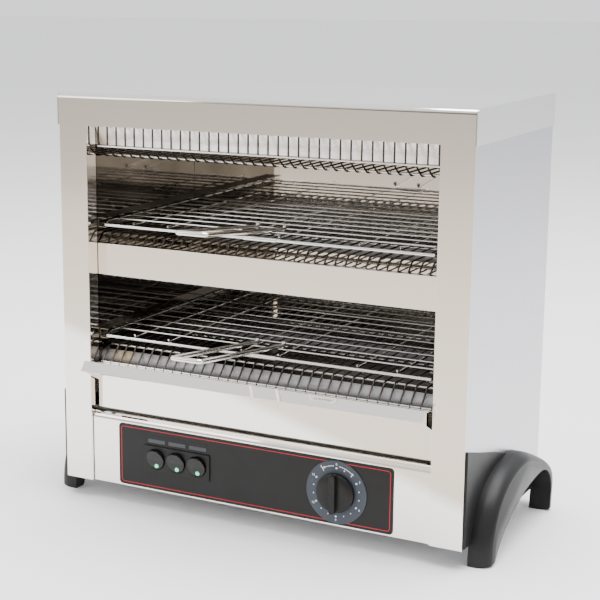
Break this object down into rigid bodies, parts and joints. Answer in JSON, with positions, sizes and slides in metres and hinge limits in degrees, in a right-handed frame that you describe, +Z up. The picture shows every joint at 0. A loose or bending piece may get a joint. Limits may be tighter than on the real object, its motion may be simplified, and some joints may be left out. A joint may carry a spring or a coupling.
{
  "type": "tube toaster",
  "caption": "Countertop tube toaster: steel casing open at the front, wire racks with bent handles, heating tubes behind guards, crumb tray, rocker switches, timer, arched feet.",
  "frame": {"origin": "on the floor plane, in the middle of the overall width and of the overall depth, handles and cord gland included", "axes": "+X to the user's right across the width, +Y from the user towards the back, +Z up"},
  "size_m": [0.525, 0.3882, 0.4594],
  "materials": {
    "cover_steel": "polished stainless sheet",
    "side_steel": "satin and polished stainless sheet",
    "rear_steel": "satin sheet",
    "front_steel": "polished stainless sheet",
    "chamber_steel": "polished, heat tinted",
    "quartz_tube": "frosted quartz",
    "ceramic": "unglazed ceramic",
    "guard_wire": "bright wire, heat tinted",
    "rack_wire": "bright wire",
    "handle_wire": "bright wire",
    "tray_steel": "satin sheet",
    "overlay_film": "satin film with a thin red border",
    "black_plastic": "satin",
    "switch_plastic": "glossy",
    "lamp_lens": "translucent green",
    "dial_plastic": null,
    "knob_plastic": "satin",
    "foot_plastic": "moulded, satin"
  },
  "bodies": {
    "casing": {"top_cover": "cover_steel", "left_side_panel": "side_steel", "right_side_panel": "side_steel", "rear_panel": "rear_steel", "base_plate": "rear_steel", "control_panel": "front_steel", "electrics_shield": "rear_steel", "left_inner_wall": "chamber_steel", "right_inner_wall": "chamber_steel", "chamber_back_wall": "chamber_steel", "top_reflector": "chamber_steel", "middle_crossbar": "front_steel", "bottom_front_tube": "quartz_tube", "bottom_rear_tube": "quartz_tube", "middle_front_tube": "quartz_tube", "middle_rear_tube": "quartz_tube", "top_front_tube": "quartz_tube", "top_rear_tube": "quartz_tube", "bottom_front_tube_left_cap": "ceramic", "bottom_front_tube_right_cap": "ceramic", "bottom_rear_tube_left_cap": "ceramic", "bottom_rear_tube_right_cap": "ceramic", "middle_front_tube_left_cap": "ceramic", "middle_front_tube_right_cap": "ceramic", "middle_rear_tube_left_cap": "ceramic", "middle_rear_tube_right_cap": "ceramic", "top_front_tube_left_cap": "ceramic", "top_front_tube_right_cap": "ceramic", "top_rear_tube_left_cap": "ceramic", "top_rear_tube_right_cap": "ceramic", "bottom_guard": "guard_wire", "middle_lower_guard": "guard_wire", "middle_upper_guard": "guard_wire", "top_guard": "guard_wire", "lower_left_runner": "chamber_steel", "lower_right_runner": "chamber_steel", "upper_left_runner": "chamber_steel", "upper_right_runner": "chamber_steel", "control_overlay": "overlay_film", "switch_plate": "black_plastic", "switch_block": "black_plastic", "timer_dial": "dial_plastic", "timer_body": "black_plastic", "left_foot": "foot_plastic", "right_foot": "foot_plastic", "cord_gland": "black_plastic", "terminal_block": "ceramic"},
    "upper_rack": {"upper_rack": "rack_wire", "upper_rack_handle": "handle_wire"},
    "lower_rack": {"lower_rack": "rack_wire", "lower_rack_handle": "handle_wire"},
    "crumb_tray": {"crumb_tray": "tray_steel", "crumb_tray_front": "front_steel"},
    "timer_knob": {"timer_knob": "knob_plastic"},
    "switch_1": {"switch_button_1": "switch_plastic", "switch_lamp_1": "lamp_lens"},
    "switch_2": {"switch_button_2": "switch_plastic", "switch_lamp_2": "lamp_lens"},
    "switch_3": {"switch_button_3": "switch_plastic", "switch_lamp_3": "lamp_lens"}
  },
  "joints": [
    {"name": "upper_rack_slide", "type": "slide", "parent": "casing", "child": "upper_rack", "axis": [0, -1, 0], "range_m": [0, 0.15]},
    {"name": "lower_rack_slide", "type": "slide", "parent": "casing", "child": "lower_rack", "axis": [0, -1, 0], "range_m": [0, 0.15]},
    {"name": "crumb_tray_slide", "type": "slide", "parent": "casing", "child": "crumb_tray", "axis": [0, -1, 0], "range_m": [0, 0.17]},
    {"name": "timer_turn", "type": "hinge", "parent": "casing", "child": "timer_knob", "pos_m": [0.1003, -0.0586, 0.059], "axis": [0, 1, 0], "range_deg": [0, 300]},
    {"name": "switch_1_rock", "type": "hinge", "parent": "casing", "child": "switch_1", "pos_m": [-0.1189, -0.0572, 0.0593], "axis": [1, 0, 0], "range_deg": [-11, 0]},
    {"name": "switch_2_rock", "type": "hinge", "parent": "casing", "child": "switch_2", "pos_m": [-0.0927, -0.0572, 0.0593], "axis": [1, 0, 0], "range_deg": [-11, 0]},
    {"name": "switch_3_rock", "type": "hinge", "parent": "casing", "child": "switch_3", "pos_m": [-0.0665, -0.0572, 0.0593], "axis": [1, 0, 0], "range_deg": [-11, 0]}
  ]
}
